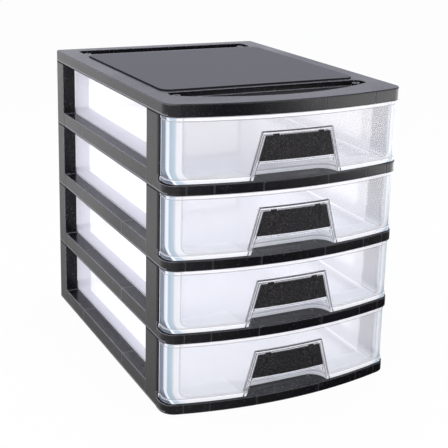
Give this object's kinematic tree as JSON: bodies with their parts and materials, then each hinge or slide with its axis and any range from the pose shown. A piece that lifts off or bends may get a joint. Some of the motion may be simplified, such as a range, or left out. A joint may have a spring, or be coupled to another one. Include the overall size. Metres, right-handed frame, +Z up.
{
  "type": "letter tray stack with drawers",
  "caption": "Desktop stack of bowed translucent drawers with inset handle plates, sliding in an open black plastic frame under a flat cover.",
  "frame": {"origin": "middle of the footprint's bounding box, on the surface that the stack stands on", "axes": "+X to the user's right, +Y from the bowed front to the back, +Z up"},
  "size_m": [0.296, 0.405, 0.356],
  "materials": {
    "frame_plastic": "moulded, satin to gloss",
    "drawer_plastic": "milky translucent, smooth",
    "insert_plastic": "fine grained, matt"
  },
  "bodies": {
    "stack": {"top_cover": "frame_plastic", "tier_frame_1": "frame_plastic", "tier_frame_2": "frame_plastic", "tier_frame_3": "frame_plastic", "tier_frame_4": "frame_plastic"},
    "drawer_unit_1": {"drawer_1": "drawer_plastic", "handle_insert_1": "insert_plastic"},
    "drawer_unit_2": {"drawer_2": "drawer_plastic", "handle_insert_2": "insert_plastic"},
    "drawer_unit_3": {"drawer_3": "drawer_plastic", "handle_insert_3": "insert_plastic"},
    "drawer_unit_4": {"drawer_4": "drawer_plastic", "handle_insert_4": "insert_plastic"}
  },
  "joints": [
    {"name": "drawer_slide_1", "type": "slide", "parent": "stack", "child": "drawer_unit_1", "axis": [0, -1, 0], "range_m": [0, 0.3]},
    {"name": "drawer_slide_2", "type": "slide", "parent": "stack", "child": "drawer_unit_2", "axis": [0, -1, 0], "range_m": [0, 0.3]},
    {"name": "drawer_slide_3", "type": "slide", "parent": "stack", "child": "drawer_unit_3", "axis": [0, -1, 0], "range_m": [0, 0.3]},
    {"name": "drawer_slide_4", "type": "slide", "parent": "stack", "child": "drawer_unit_4", "axis": [0, -1, 0], "range_m": [0, 0.3]}
  ]
}
